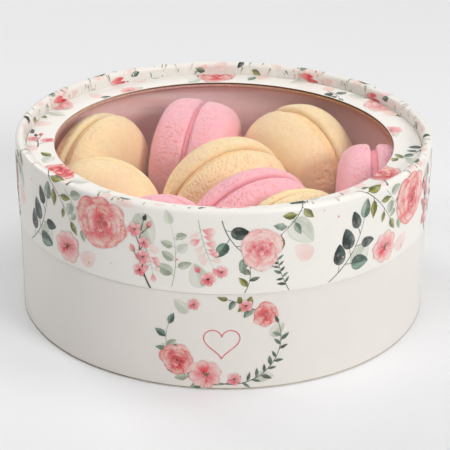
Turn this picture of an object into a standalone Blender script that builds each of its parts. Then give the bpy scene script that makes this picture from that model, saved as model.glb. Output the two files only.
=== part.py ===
"""Round lidded card box with a clear round window, filled with macarons.

Metres, +Z up. The origin is the middle of the foot, on the surface the box stands on.
"""
import math

import bmesh
import bpy
from mathutils import Matrix, Vector

MM = 0.001

# Outer sizes of the box
OUTER_R = 60.0 * MM           # lid, outside
HEIGHT = 52.7 * MM            # foot to the top of the lid's rim
WALL = 2.8 * MM               # thickness of the card walls
GAP = 0.3 * MM                # clearance left between pieces that touch
SEAM_Z = 28.5 * MM            # top of the base wall, where the lid begins
LID_STANDS_OUT = 0.3 * MM     # how much wider the lid is than the base
EDGE_ROUND = 0.35 * MM        # soft edges of the wrapped card

# Lid top
RING_DROP = 3.7 * MM          # how far the flat ring lies below the rim
RING_T = 1.5 * MM
WINDOW_R = 48.9 * MM          # cut-out in the ring
RING_EDGE_ROUND = 0.25 * MM
FILM_T = 0.25 * MM
FILM_R = 56.4 * MM

# Base
BOARD_DROP = 3.6 * MM         # the bottom board is set in, like the ring of the lid
BOARD_T = 2.0 * MM
LINER_T = 1.0 * MM            # inner tube that the lid slides over

# Roundness of the turned pieces
BOX_STEPS = 64
RIM_STEPS = 6
CORNER_STEPS = 1

# Macaron form, in parts of its own radius or half its thickness
MACARON_STEPS = 24
CAP_RINGS = 4
CAP_SIDE_POWER = 3.6          # how square the shoulder of the cap is
CAP_TOP_POWER = 2.5
CAP_START = 0.30              # where the smooth cap begins, in parts of the half thickness
FOOT_OUT = 0.992              # the ruffled foot stands out this far
FOOT_IN = 0.968               # depth of its folds
FOOT_RISE = 0.22              # its height above the seam, in parts of the half thickness
UNDERSIDE_R = 0.945
NECK_R = 0.965                # small waist between foot and cap
FILLING_R = 0.925
SEAM_GAP = 0.3 * MM

# Each macaron: name, colour, place of its middle (mm), heading and lean of its axis
# (degrees), radius, thickness and thickness of its filling (mm)
MACARONS = (
    ("macaron_left", "yellow", (-38.4, 24.0, 26.2), -34.1, -0.2, 19.9, 17.8, 1.2),
    ("macaron_left_front", "yellow", (-35.9, -6.8, 25.0), -88.8, 9.2, 18.8, 23.2, 1.2),
    ("macaron_back", "pink", (-8.9, 35.7, 28.1), -14.6, -4.5, 18.5, 25.2, 1.0),
    ("macaron_middle", "yellow", (0.8, 5.6, 27.1), -60.2, -18.8, 19.7, 23.7, 1.4),
    ("macaron_middle_front", "pink", (7.8, -16.8, 26.3), -59.3, -15.6, 20.6, 19.3, 1.0),
    ("macaron_right_front", "yellow", (20.7, -35.0, 26.3), -63.2, 6.4, 20.5, 17.8, 1.2),
    ("macaron_right_back", "yellow", (23.6, 31.5, 27.4), 221.2, -6.6, 19.2, 28.0, 3.0),
    ("macaron_right", "pink", (43.8, -1.4, 26.1), -2.7, 1.0, 20.5, 21.3, 1.4),
    ("macaron_front", "pink", (-16.4, -37.8, 25.8), -129.8, 15.6, 19.8, 19.6, 1.0),
)

COLOURS = {
    "base_paper": ((0.83, 0.81, 0.77), 0.5),
    "lid_paper": ((0.90, 0.88, 0.85), 0.45),
    "lining": ((0.66, 0.40, 0.40), 0.6),
    "film": ((0.95, 0.96, 0.97), 0.05),
    "yellow": ((0.93, 0.72, 0.42), 0.65),
    "yellow_filling": ((0.90, 0.58, 0.24), 0.5),
    "pink": ((0.95, 0.45, 0.50), 0.65),
    "pink_filling": ((0.80, 0.25, 0.31), 0.5),
}


def clear_scene():
    for obj in list(bpy.data.objects):
        bpy.data.objects.remove(obj, do_unlink=True)


def material(name):
    """One Principled material for each colour, made the first time it is asked for."""
    found = bpy.data.materials.get(name)
    if found:
        return found
    colour, roughness = COLOURS[name]
    made = bpy.data.materials.new(name)
    made.use_nodes = True
    shader = made.node_tree.nodes["Principled BSDF"]
    shader.inputs["Base Color"].default_value = (*colour, 1.0)
    shader.inputs["Roughness"].default_value = roughness
    made.diffuse_color = (*colour, 1.0)
    return made


def add_object(name, mesh_data, colour):
    """Turns a finished bmesh into a named object with smooth rounds."""
    bmesh.ops.remove_doubles(mesh_data, verts=mesh_data.verts, dist=1e-6)
    bmesh.ops.recalc_face_normals(mesh_data, faces=mesh_data.faces)
    mesh = bpy.data.meshes.new(name)
    mesh_data.to_mesh(mesh)
    mesh_data.free()
    mesh.materials.append(material(colour))
    obj = bpy.data.objects.new(name, mesh)
    bpy.context.scene.collection.objects.link(obj)
    mesh.shade_smooth()
    mesh.set_sharp_from_angle(angle=math.radians(40))
    return obj


def turned(profile, steps):
    """A solid of revolution about Z from a closed profile of (radius, height) points."""
    mesh_data = bmesh.new()
    points = [mesh_data.verts.new((radius, 0.0, height)) for radius, height in profile]
    closed = profile[0][0] > 0.0
    pairs = list(zip(points, points[1:])) + ([(points[-1], points[0])] if closed else [])
    edges = [mesh_data.edges.new(pair) for pair in pairs]
    bmesh.ops.spin(
        mesh_data, geom=points + edges, cent=(0, 0, 0), axis=(0, 0, 1),
        angle=math.tau, steps=steps, use_merge=True, use_duplicate=False,
    )
    return mesh_data


def corner(centre_r, centre_z, radius, start):
    """A quarter round, anticlockwise in the (radius, height) plane from the angle start."""
    return [
        (
            centre_r + radius * math.cos(math.radians(start + 90.0 * i / CORNER_STEPS)),
            centre_z + radius * math.sin(math.radians(start + 90.0 * i / CORNER_STEPS)),
        )
        for i in range(CORNER_STEPS + 1)
    ]


def soft_section(inner, outer, low, high, radius):
    """The section of a ring with four softened corners."""
    return (
        corner(inner + radius, low + radius, radius, 180)
        + corner(outer - radius, low + radius, radius, 270)
        + corner(outer - radius, high - radius, radius, 0)
        + corner(inner + radius, high - radius, radius, 90)
    )


def disc_section(outer, low, high):
    return [(0.0, low), (outer, low), (outer, high), (0.0, high)]


def build_base():
    outer = OUTER_R - LID_STANDS_OUT
    inner = outer - WALL
    wall = turned(soft_section(inner, outer, 0.0, SEAM_Z, EDGE_ROUND), BOX_STEPS)
    add_object("base_wall", wall, "base_paper")

    board_top = BOARD_DROP + BOARD_T
    board = turned(disc_section(inner - GAP, BOARD_DROP, board_top), BOX_STEPS)
    add_object("base_board", board, "lining")

    liner_outer = inner - GAP
    low = board_top + GAP
    high = film_bottom() - GAP
    liner = turned(
        [
            (liner_outer - LINER_T, low), (liner_outer, low),
            (liner_outer, high), (liner_outer - LINER_T, high),
        ],
        BOX_STEPS,
    )
    add_object("liner", liner, "lining")


def film_bottom():
    return HEIGHT - RING_DROP - RING_T - GAP - FILM_T


def build_lid():
    """Side wall with its rounded rim, the flat ring set into it, and the clear film."""
    inner = OUTER_R - WALL
    low = SEAM_Z + GAP
    half = WALL / 2
    rim = [
        (
            OUTER_R - half + half * math.cos(math.pi * i / RIM_STEPS),
            HEIGHT - half + half * math.sin(math.pi * i / RIM_STEPS),
        )
        for i in range(RIM_STEPS + 1)
    ]
    foot = (
        corner(inner + EDGE_ROUND, low + EDGE_ROUND, EDGE_ROUND, 180)
        + corner(OUTER_R - EDGE_ROUND, low + EDGE_ROUND, EDGE_ROUND, 270)
    )
    add_object("lid_wall", turned(foot + rim, BOX_STEPS), "lid_paper")

    ring_top = HEIGHT - RING_DROP
    ring = soft_section(WINDOW_R, inner - GAP, ring_top - RING_T, ring_top, RING_EDGE_ROUND)
    add_object("lid_ring", turned(ring, BOX_STEPS), "lid_paper")

    film = turned(disc_section(FILM_R, film_bottom(), film_bottom() + FILM_T), BOX_STEPS)
    add_object("window_film", film, "film")


def shell_profile(radius, half, seam):
    """One macaron shell, from the middle of its flat underside out and up to its crown."""
    foot_top = seam + half * FOOT_RISE
    profile = [
        (0.0, seam),
        (radius * UNDERSIDE_R, seam),
        (radius * FOOT_OUT, seam + 0.25 * (foot_top - seam)),
        (radius * FOOT_OUT, foot_top),
        (radius * NECK_R, foot_top + 0.06 * half),
    ]
    start = max(CAP_START, (foot_top + 0.10 * half) / half)
    for i in range(CAP_RINGS):
        share = start + (1.0 - start) * math.sin(0.5 * math.pi * i / CAP_RINGS)
        across = (1.0 - share ** CAP_TOP_POWER) ** (1.0 / CAP_SIDE_POWER)
        profile.append((radius * 0.985 * across, share * half))
    profile.append((0.0, half))
    return profile


def ruffle_foot(mesh_data, radius, seam, half):
    """Draws every second point of the foot inwards, so that it is folded as a baked foot is."""
    reach = radius * (FOOT_OUT - 0.002)
    for vert in mesh_data.verts:
        across = math.hypot(vert.co.x, vert.co.y)
        if across < reach or vert.co.z > seam + half * (FOOT_RISE + 0.02):
            continue
        turn = round(math.atan2(vert.co.y, vert.co.x) / math.tau * MACARON_STEPS)
        if turn % 2:
            vert.co.x *= FOOT_IN / FOOT_OUT
            vert.co.y *= FOOT_IN / FOOT_OUT


def macaron_frame(place, heading, lean):
    """Turns the macaron's own Z to its axis and moves it to its place."""
    heading, lean = math.radians(heading), math.radians(lean)
    axis = Vector((
        math.cos(heading) * math.cos(lean), math.sin(heading) * math.cos(lean), math.sin(lean),
    ))
    across = Vector((0, 0, 1)).cross(axis).normalized()
    up = axis.cross(across)
    turn = Matrix((across, up, axis)).transposed().to_4x4()
    return Matrix.Translation(Vector(place) * MM) @ turn


def build_macaron(name, colour, place, heading, lean, radius, thickness, filling):
    """Two shells and the filling between them, parented to an empty on the macaron's axis."""
    radius, half, filling = radius * MM, thickness * MM / 2, filling * MM
    holder = bpy.data.objects.new(name, None)
    bpy.context.scene.collection.objects.link(holder)
    holder.matrix_world = macaron_frame(place, heading, lean)

    seam = filling / 2 + SEAM_GAP
    for number in (1, 2):
        mesh_data = turned(shell_profile(radius, half, seam), MACARON_STEPS)
        ruffle_foot(mesh_data, radius, seam, half)
        shell = add_object(f"{name}_shell_{number}", mesh_data, colour)
        shell.parent = holder
        if number == 2:
            shell.rotation_euler = (math.pi, 0, 0)
    mesh_data = turned(disc_section(radius * FILLING_R, -filling / 2, filling / 2), MACARON_STEPS)
    middle = add_object(f"{name}_filling", mesh_data, f"{colour}_filling")
    middle.parent = holder


def main():
    clear_scene()
    build_base()
    build_lid()
    for macaron in MACARONS:
        build_macaron(*macaron)


main()
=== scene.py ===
"""Macaron tube box: the dressed model on a pale floor, with its light and camera.

Laid out as a Blender add-on and run as a script. Metres, +Z up, the viewer stands at -Y.
Printed shapes are drawn flat, in millimetres, and then wrapped on the box.
"""
import math
import random

import bmesh
import bpy
from bpy.props import FloatProperty, FloatVectorProperty, IntProperty, PointerProperty
from mathutils import Matrix, Vector, noise


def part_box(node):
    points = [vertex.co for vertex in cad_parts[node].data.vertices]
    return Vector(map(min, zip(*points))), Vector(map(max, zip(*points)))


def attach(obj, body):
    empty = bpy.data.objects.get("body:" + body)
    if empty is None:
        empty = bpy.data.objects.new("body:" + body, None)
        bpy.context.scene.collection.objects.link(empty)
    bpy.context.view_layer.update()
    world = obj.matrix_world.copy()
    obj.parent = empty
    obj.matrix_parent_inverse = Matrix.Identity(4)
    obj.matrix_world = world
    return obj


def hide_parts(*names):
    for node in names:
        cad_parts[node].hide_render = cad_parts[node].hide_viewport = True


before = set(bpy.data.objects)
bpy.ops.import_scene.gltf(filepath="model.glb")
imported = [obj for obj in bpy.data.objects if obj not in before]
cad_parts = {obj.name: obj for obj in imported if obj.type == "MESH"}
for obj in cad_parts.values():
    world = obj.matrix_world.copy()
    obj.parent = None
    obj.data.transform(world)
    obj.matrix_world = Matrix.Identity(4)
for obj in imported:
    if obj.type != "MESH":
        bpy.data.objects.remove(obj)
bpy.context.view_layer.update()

bl_info = {
    "name": "Macaron tube box",
    "version": (1, 0, 0),
    "blender": (4, 5, 0),
    "location": "3D View > Sidebar > Macaron box",
    "description": "Round card box with a printed lid, a clear window and macarons inside",
    "category": "Add Mesh",
}

MM = 0.001
FRONT = -math.pi / 2                      # where the print's middle lies on the box
MACARONS = {
    "macaron_left": "yellow", "macaron_left_front": "yellow", "macaron_back": "pink",
    "macaron_middle": "yellow", "macaron_middle_front": "pink",
    "macaron_right_front": "yellow", "macaron_right_back": "yellow",
    "macaron_right": "pink", "macaron_front": "pink",
}


def turned_size(node):
    """Outer radius, low end and high end of a round CAD node, in millimetres."""
    low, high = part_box(node)
    return high[0] / MM, low[2] / MM, high[2] / MM


LID_R, LID_LOW, LID_TOP = turned_size("lid_wall")
RING_R, RING_LOW, RING_TOP = turned_size("lid_ring")
BASE_R, BASE_LOW, BASE_TOP = turned_size("base_wall")
BOARD_R, BOARD_LOW, BOARD_TOP = turned_size("base_board")
LINER_R, LINER_LOW, LINER_TOP = turned_size("liner")
LINER_WALL = 1.0
FILM_R, FILM_LOW, FILM_TOP = turned_size("window_film")


# Sizes and colours that a user may change

def setting(name, description, default, **more):
    """One number that a user may change."""
    return FloatProperty(name=name, description=description, default=default, **more)


class BoxSizes(bpy.types.PropertyGroup):
    wall: setting("Wall", "Thickness of the card walls, mm", 2.8)
    window: setting("Window", "Radius of the cut-out, mm", 48.9)
    ink_room: setting("Ink room", "Depth kept for the print under the outer size, mm", 0.16)
    ink_step: setting("Ink step", "Height of one printed shape over the one below, mm", 0.0025,
                      precision=4)
    crease_depth: setting("Crease depth", "Depth of the folds in the paper over the rim, mm", 0.42)
    steps: IntProperty(name="Steps", description="Steps round the lid", default=640)


class MacaronSizes(bpy.types.PropertyGroup):
    foot: setting("Foot", "Share of a shell's height that its pitted foot takes", 0.80,
                  subtype="FACTOR")
    pit: setting("Pits", "Depth of the pits in the foot, mm", 0.38)
    pit_size: setting("Pit size", "Distance between pits, mm", 0.86)
    pit_width: setting("Pit width", "Reach of a pit, as a share of their distance", 0.40,
                       subtype="FACTOR")
    uneven: setting("Unevenness", "Height of the slow waves in a shell, mm", 0.30)
    steps: IntProperty(name="Steps", description="Steps round a macaron", default=540)


def tint(name, default, what):
    return FloatVectorProperty(
        name=name, description=f"Colour of {what}", subtype="COLOR", size=3, min=0.0, max=1.0,
        default=default)


class BoxColours(bpy.types.PropertyGroup):
    lid_paper: tint("Lid paper", (0.89, 0.855, 0.80), "the lid's wrap")
    base_paper: tint("Base paper", (0.828, 0.784, 0.73), "the base's wrap")
    lining: tint("Lining", (0.98, 0.60, 0.56), "the inner tube")
    raw_board: tint("Raw board", (0.13, 0.055, 0.02), "the cut edge of the window")
    yellow: tint("Yellow shell", (0.95, 0.71, 0.415), "the yellow shells")
    pink: tint("Pink shell", (0.99, 0.475, 0.535), "the pink shells")
    yellow_cream: tint("Yellow cream", (0.97, 0.66, 0.34), "the yellow filling")
    # painted shade: the pink filling is darkened for the shade in the groove between its shells
    pink_cream_shaded: tint("Pink cream", (0.86, 0.34, 0.40), "the pink filling")
    floor: tint("Floor", (0.84, 0.84, 0.85), "the floor")


class StudioSizes(bpy.types.PropertyGroup):
    power: setting("Power", "Share of their full power that the soft boxes give", 1.0,
                   subtype="FACTOR")
    reach: setting("Reach", "Distance of the soft boxes", 1.2, unit="LENGTH")
    air: setting("Air", "Strength of the light all round", 0.15)


def sizes():
    return bpy.context.scene.macaron_box_sizes


def colours():
    return bpy.context.scene.macaron_box_colours


# Modelling helpers

def only(obj):
    """Selects one object and makes it the active one."""
    bpy.ops.object.select_all(action="DESELECT")
    obj.select_set(True)
    bpy.context.view_layer.objects.active = obj


def new_piece(name, points, edges=(), faces=()):
    mesh = bpy.data.meshes.new(name)
    mesh.from_pydata(points, edges, faces)
    piece = bpy.data.objects.new(name, mesh)
    bpy.context.scene.collection.objects.link(piece)
    only(piece)
    return piece


def turn_profile(name, profile, steps, closed=True):
    """Turns a profile of (radius, height) points in mm about Z into one closed piece."""
    points = [(radius * MM, 0.0, height * MM) for radius, height in profile]
    edges = [(i, i + 1) for i in range(len(points) - 1)]
    if closed:
        edges.append((len(points) - 1, 0))
    piece = new_piece(name, points, edges)
    add_modifier(piece, "SCREW", angle=math.tau, steps=steps, render_steps=steps)
    bpy.ops.object.mode_set(mode="EDIT")
    bpy.ops.mesh.select_all(action="SELECT")
    bpy.ops.mesh.remove_doubles(threshold=2e-6)
    bpy.ops.mesh.normals_make_consistent(inside=False)
    bpy.ops.object.mode_set(mode="OBJECT")
    return piece


def smooth(piece, angle=40):
    only(piece)
    bpy.ops.object.shade_smooth_by_angle(angle=math.radians(angle))


def arc(centre_r, centre_z, radius, start, end, steps):
    """Points on an arc in the (radius, height) plane, angles in degrees."""
    found = []
    for i in range(steps + 1):
        angle = math.radians(start + (end - start) * i / steps)
        found.append((centre_r + radius * math.cos(angle), centre_z + radius * math.sin(angle)))
    return found


def rise(start, end, steps):
    """Evenly spaced values from start to end, without the end itself."""
    return [start + (end - start) * i / steps for i in range(steps)]


def add_modifier(piece, kind, **settings):
    """Adds a modifier, sets it and applies it."""
    only(piece)
    modifier = piece.modifiers.new(kind.title(), kind)
    for key, value in settings.items():
        setattr(modifier, key, value)
    bpy.ops.object.modifier_apply(modifier=modifier.name)


def disc_profile(radius, low, high, soft):
    """A flat round piece with slanted edges, from its middle below to its middle above."""
    return [(0.0, low), (radius - soft, low), (radius, low + soft),
            (radius, high - soft), (radius - soft, high), (0.0, high)]


def finish_piece(piece, material, slot, *nodes, angle=40):
    if material:
        piece.data.materials.append(material)
    smooth(piece, angle)
    if nodes:
        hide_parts(*nodes)
    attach(piece, "root")


# Material helpers

def srgb(red, green, blue):
    """A colour given as 0 to 255 on screen, as linear light."""
    def linear(value):
        value /= 255
        return value / 12.92 if value <= 0.04045 else ((value + 0.055) / 1.055) ** 2.4
    return (linear(red), linear(green), linear(blue))


def add_node(tree, kind, inputs=None, **settings):
    """Adds a node, sets its properties, and sets or links its inputs."""
    node = tree.nodes.new(kind)
    for key, value in settings.items():
        setattr(node, key, value)
    for key, value in (inputs or {}).items():
        if isinstance(value, bpy.types.NodeSocket):
            tree.links.new(value, node.inputs[key])
        else:
            node.inputs[key].default_value = value
    return node


def mixed(tree, factor, first, second, blend="MIX"):
    """A colour mix; first and second are colours or sockets."""
    return add_node(tree, "ShaderNodeMix", {0: factor, 6: first, 7: second},
                    data_type="RGBA", blend_type=blend).outputs[2]


def ranged(tree, value, low, high, to_low=0.0, to_high=1.0):
    node = add_node(tree, "ShaderNodeMapRange", {
        "Value": value, "From Min": low, "From Max": high, "To Min": to_low, "To Max": to_high})
    return node.outputs["Result"]


def product(tree, first, second):
    return add_node(tree, "ShaderNodeMath", {0: first, 1: second}, operation="MULTIPLY").outputs[0]


def total(tree, first, second):
    return add_node(tree, "ShaderNodeMath", {0: first, 1: second}, operation="ADD").outputs[0]


def here(tree):
    """The point being coloured, in the piece's own coordinates."""
    return add_node(tree, "ShaderNodeTexCoord").outputs["Object"]


def attribute(tree, name, output):
    """A value that each point of the piece carries."""
    return add_node(tree, "ShaderNodeAttribute", attribute_name=name).outputs[output]


def group(name, inputs, outputs):
    """An empty node group with named sockets; returns its tree, input node and output node."""
    tree = bpy.data.node_groups.new(name, "ShaderNodeTree")
    for label, kind, default in inputs:
        socket = tree.interface.new_socket(name=label, in_out="INPUT", socket_type=kind)
        socket.default_value = default
    for label, kind in outputs:
        tree.interface.new_socket(name=label, in_out="OUTPUT", socket_type=kind)
    return tree, tree.nodes.new("NodeGroupInput"), tree.nodes.new("NodeGroupOutput")


def noise_value(tree, scale, detail=3.0, roughness=0.55, vector=None):
    return add_node(tree, "ShaderNodeTexNoise", {
        "Vector": vector or here(tree), "Scale": scale, "Detail": detail,
        "Roughness": roughness}).outputs["Fac"]


FLOAT, COLOUR = "NodeSocketFloat", "NodeSocketColor"
STREAKS = 0.75                            # strength of the brush streaks in the print


def paper_group():
    """Fibres and soft lumps of wrapped paper: a height, and a mottled tone about 1."""
    tree, given, made = group(
        "Paper wrap", [("Lumps", FLOAT, 0.5), ("Mottle", FLOAT, 0.03)],
        [("Height", FLOAT), ("Tone", FLOAT)])
    fibres = noise_value(tree, 2600, 4.0)
    lumps = product(tree, noise_value(tree, 130, 2.0), given.outputs["Lumps"])
    tree.links.new(total(tree, product(tree, fibres, 0.12), lumps), made.inputs["Height"])
    cloud = ranged(tree, noise_value(tree, 70, 4.0), 0.3, 0.7, -1.0, 1.0)
    tone = total(tree, product(tree, cloud, given.outputs["Mottle"]), 1.0)
    tree.links.new(tone, made.inputs["Tone"])
    return tree


def watercolour_group():
    """Ink colour with streaks along each petal, pooled edges and pale washed patches."""
    tree, given, made = group(
        "Watercolour", [("Ink", COLOUR, (1, 1, 1, 1)), ("Streaks", FLOAT, 0.5),
                        ("Wash", FLOAT, 0.3)],
        [("Colour", COLOUR)])
    place = add_node(tree, "ShaderNodeUVMap", uv_map="Petal").outputs["UV"]
    shift = add_node(tree, "ShaderNodeVectorMath", {0: here(tree), "Scale": 160.0},
                     operation="SCALE")
    stretched = add_node(tree, "ShaderNodeMapping", {"Vector": place, "Scale": (15.0, 1.3, 1.0)})
    along = add_node(tree, "ShaderNodeVectorMath", {
        0: stretched.outputs[0], 1: shift.outputs[0]}, operation="ADD").outputs[0]
    streak = ranged(tree, noise_value(tree, 1.0, 3.0, 0.6, along), 0.44, 0.62)
    darker = add_node(tree, "ShaderNodeGamma", {"Color": given.outputs["Ink"], "Gamma": 2.1})
    sideways = add_node(tree, "ShaderNodeSeparateXYZ", {0: place}).outputs[0]
    strength = product(tree, given.outputs["Streaks"], ranged(tree, sideways, 1.2, 1.6, 0.6, 1.0))
    inked = mixed(tree, product(tree, streak, strength), given.outputs["Ink"],
                  darker.outputs[0])
    away = add_node(tree, "ShaderNodeMath", {0: total(tree, sideways, -0.5)},
                    operation="ABSOLUTE")
    vein = ranged(tree, away.outputs[0], 0.02, 0.06, 0.75, 0.0)
    inked = mixed(tree, vein, inked, darker.outputs[0])
    patch = ranged(tree, noise_value(tree, 420, 4.0), 0.46, 0.70)
    washed = mixed(tree, product(tree, patch, given.outputs["Wash"]), inked, (1, 1, 1, 1))
    tree.links.new(washed, made.inputs["Colour"])
    return tree


def crumb_group():
    """Skin of a baked shell: fine grain height and a slow change of tone."""
    tree, given, made = group(
        "Baked skin", [("Grain", FLOAT, 1.0), ("Mottle", FLOAT, 0.06)],
        [("Height", FLOAT), ("Tone", FLOAT)])
    fine = noise_value(tree, 3200, 3.0, 0.6)
    dimples = noise_value(tree, 900, 2.0, 0.5)
    height = total(tree, product(tree, fine, 0.35), product(tree, dimples, 0.65))
    tree.links.new(product(tree, height, given.outputs["Grain"]), made.inputs["Height"])
    cloud = ranged(tree, noise_value(tree, 120, 4.0, 0.6), 0.3, 0.7, -1.0, 1.0)
    speckle = ranged(tree, dimples, 0.3, 0.7, -0.9, 0.9)
    blotched = product(tree, total(tree, cloud, speckle), given.outputs["Mottle"])
    tree.links.new(total(tree, blotched, 1.0), made.inputs["Tone"])
    return tree


GROUPS = {"Paper wrap": paper_group, "Watercolour": watercolour_group, "Baked skin": crumb_group}


def use_group(tree, name, **values):
    """Places a node group, made the first time that it is asked for."""
    made = bpy.data.node_groups.get(name) or GROUPS[name]()
    return add_node(tree, "ShaderNodeGroup", values, node_tree=made)


def new_material(name, roughness, **settings):
    """A material with one Principled shader; constants go straight on its sockets."""
    material = bpy.data.materials.new(name)
    material.use_nodes = True
    shader = material.node_tree.nodes["Principled BSDF"]
    shader.inputs["Roughness"].default_value = roughness
    for key, value in settings.items():
        shader.inputs[key.replace("_", " ")].default_value = value
    return material, material.node_tree, shader


def set_relief(tree, shader, height, depth):
    bump = add_node(tree, "ShaderNodeBump", {"Height": height, "Strength": 1.0,
                                             "Distance": depth * MM})
    tree.links.new(bump.outputs["Normal"], shader.inputs["Normal"])


def toned(tree, colour, tone):
    """Colour multiplied by a tone near 1."""
    grey = add_node(tree, "ShaderNodeCombineColor", {0: tone, 1: tone, 2: tone}).outputs[0]
    return mixed(tree, 1.0, colour, grey, "MULTIPLY")


def grained(surface, colour, grain, depth):
    """Gives a new material its colour, with the grain's tone, and its relief of a depth in mm."""
    material, tree, shader = surface
    tree.links.new(toned(tree, colour, grain.outputs["Tone"]), shader.inputs["Base Color"])
    set_relief(tree, shader, grain.outputs["Height"], depth)
    return material


def paper_material(name, colour, roughness=0.42, lumps=0.5, mottle=0.02, coat=0.15, wash=None):
    """Wrapped paper. With a wash it is the print on it, in the inks of the piece's own points."""
    surface = new_material(name, roughness, Coat_Weight=coat, Coat_Roughness=0.35)
    tree, colour = surface[1], (*colour, 1.0)
    grain = use_group(tree, "Paper wrap", Lumps=lumps, Mottle=mottle)
    if wash is not None:
        brush = use_group(tree, "Watercolour", Ink=attribute(tree, "Ink", "Color"),
                          Streaks=STREAKS, Wash=wash)
        colour = mixed(tree, 1.0, colour, brush.outputs["Colour"], "MULTIPLY")
    return grained(surface, colour, grain, 0.10)


def board_material(colour):
    """Cut edge of the grey-brown board: dark under the paper's lip, paler below, and paler towards
    the left with painted light.
    """
    material, tree, shader = new_material("Raw board", 0.85)
    place = add_node(tree, "ShaderNodeSeparateXYZ", {0: here(tree)})
    height = place.outputs["Z"]
    # painted light: the top band of the edge turns paler towards the left, where light falls on it
    lit_left = ranged(tree, place.outputs["X"], -40 * MM, -15 * MM, 1.0, 0.0)
    lower = ranged(tree, height, (RING_TOP - 0.95) * MM, (RING_TOP - 0.75) * MM, 1.0, 0.0)
    lowest = ranged(tree, height, (RING_TOP - 1.45) * MM, (RING_TOP - 1.32) * MM, 1.0, 0.0)
    fibre = ranged(tree, noise_value(tree, 1500, 4.0), 0.3, 0.7, 0.75, 1.2)
    pale, lined = (0.58, 0.34, 0.18, 1.0), (0.66, 0.44, 0.38, 1.0)
    inner = mixed(tree, lit_left, (*colour, 1.0), (0.50, 0.36, 0.25, 1.0))
    bare = ranged(tree, place.outputs["X"], 0.0, 30 * MM)
    banded = mixed(tree, lowest, mixed(tree, lower, inner, mixed(tree, bare, lined, pale)), lined)
    tree.links.new(toned(tree, banded, fibre), shader.inputs["Base Color"])
    set_relief(tree, shader, noise_value(tree, 1800, 3.0), 0.12)
    return material


def shell_material(name, colour):
    """Baked shell: fine grain, and a warmer, darker tone painted as shade down in its pits."""
    surface = new_material(
        name, 0.62, Subsurface_Weight=0.5, Subsurface_Scale=0.005,
        Subsurface_Radius=(1.0, 0.36, 0.16))
    tree = surface[1]
    skin = use_group(tree, "Baked skin", Grain=1.0, Mottle=0.04)
    pits = attribute(tree, "Pits", "Fac")
    # painted shade: the deeper a point lies in a pit, the darker and warmer its colour
    deep = tuple(value ** 1.5 * keep for value, keep in zip(colour, (0.92, 0.76, 0.74)))
    shaded_in_pits = mixed(tree, product(tree, pits, 0.85), (*colour, 1.0), (*deep, 1.0))
    return grained(surface, shaded_in_pits, skin, 0.10)


def cream_material(name, colour):
    surface = new_material(name, 0.45, Subsurface_Weight=0.15, Subsurface_Scale=0.002)
    skin = use_group(surface[1], "Baked skin", Grain=0.8, Mottle=0.10)
    return grained(surface, (*colour, 1.0), skin, 0.25)


FILM_HAZE, FILM_REFLECTION = 0.03, 0.10         # how much of the film shows: all over, and at its painted reflection


def film_material():
    """Clear film: faint and glossy, with a painted reflection, a pale streaked sheen, at its back
    left.
    """
    material, tree, shader = new_material("Clear film", 0.06, Base_Color=(0.97, 0.97, 0.98, 1.0))
    place = add_node(tree, "ShaderNodeSeparateXYZ", {0: here(tree)})
    # painted reflection: the film shows more, as pale streaks, in a band at its back left
    band = product(tree, ranged(tree, place.outputs["Y"], 12 * MM, 36 * MM),
                   ranged(tree, place.outputs["X"], -5 * MM, 30 * MM, 1.0, 0.0))
    drawn = add_node(tree, "ShaderNodeMapping", {
        "Vector": here(tree), "Rotation": (0.0, 0.0, -0.3), "Scale": (16.0, 110.0, 1.0)})
    streak = ranged(tree, noise_value(tree, 1.0, 2.0, 0.5, drawn.outputs[0]), 0.36, 0.62, 0.3, 1.0)
    painted_reflection = product(tree, product(tree, band, streak), FILM_REFLECTION)
    tree.links.new(total(tree, painted_reflection, FILM_HAZE), shader.inputs["Alpha"])
    smear = ranged(tree, noise_value(tree, 40, 3.0), 0.3, 0.7, 0.04, 0.12)
    tree.links.new(smear, shader.inputs["Roughness"])
    return material


# Surfaces that the print is wrapped on. Each takes a place in mm: across, up and lift.

CREASE_BINS = 7200                        # entries round the lid, about 0.05 mm each


def creases():
    """Depth, about 0 to 1, of the folds where the paper goes over the rim, all round the lid.

    Between two folds the paper lies as a flat, slightly tilted pleat.
    """
    draw = random.Random(11)
    depths, angle = [0.0] * CREASE_BINS, 0.0
    bin_width = math.tau * LID_R / CREASE_BINS
    while angle < math.tau - 0.05:
        depth, width = draw.uniform(0.3, 1.0) ** 1.5, draw.uniform(0.14, 0.32)
        start = int(angle / math.tau * CREASE_BINS)
        angle += draw.uniform(2.2, 6.0) / LID_R
        pleat = int(angle / math.tau * CREASE_BINS) - start
        low, high = draw.uniform(-0.3, 0.1), draw.uniform(-0.1, 0.4)
        for offset in range(pleat):
            depths[(start + offset) % CREASE_BINS] += low + (high - low) * offset / pleat
        for offset in range(-20, 21):
            away = offset * bin_width / width
            depths[(start + offset) % CREASE_BINS] += depth * math.exp(-away * away)
    return depths


CREASES = creases()
OVERLAP_AT = math.radians(124)            # where the lid's wrap ends over its own start
SEAM_AT = math.radians(-165.8)            # the same on the base
OVERLAP_RISE, OVERLAP_FADE = 0.10, 9.0    # height of that step, and where it has faded, mm
SEAM_RISE, SEAM_FADE = 0.12, 14


def fold_height(angle, up, side, arc_length):
    """Relief in mm of the paper over the rim at this angle and height along the wrap."""
    angle %= math.tau
    share = min(1.0, max(0.0, (up - side - 0.25 * arc_length) / (0.5 * arc_length)))
    height = 0.09 * noise.noise(Vector((math.cos(angle) * 9, math.sin(angle) * 9, up * 0.15)))
    if share > 0.0:
        depth = CREASES[int(angle / math.tau * CREASE_BINS) % CREASE_BINS]
        height -= share * depth * sizes().crease_depth
    step = (angle - OVERLAP_AT) * LID_R
    if up > side and 0.0 < step < OVERLAP_FADE:
        height += OVERLAP_RISE * min(1.0, step / 0.3) * (1.0 - step / OVERLAP_FADE)
    return height


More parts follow.
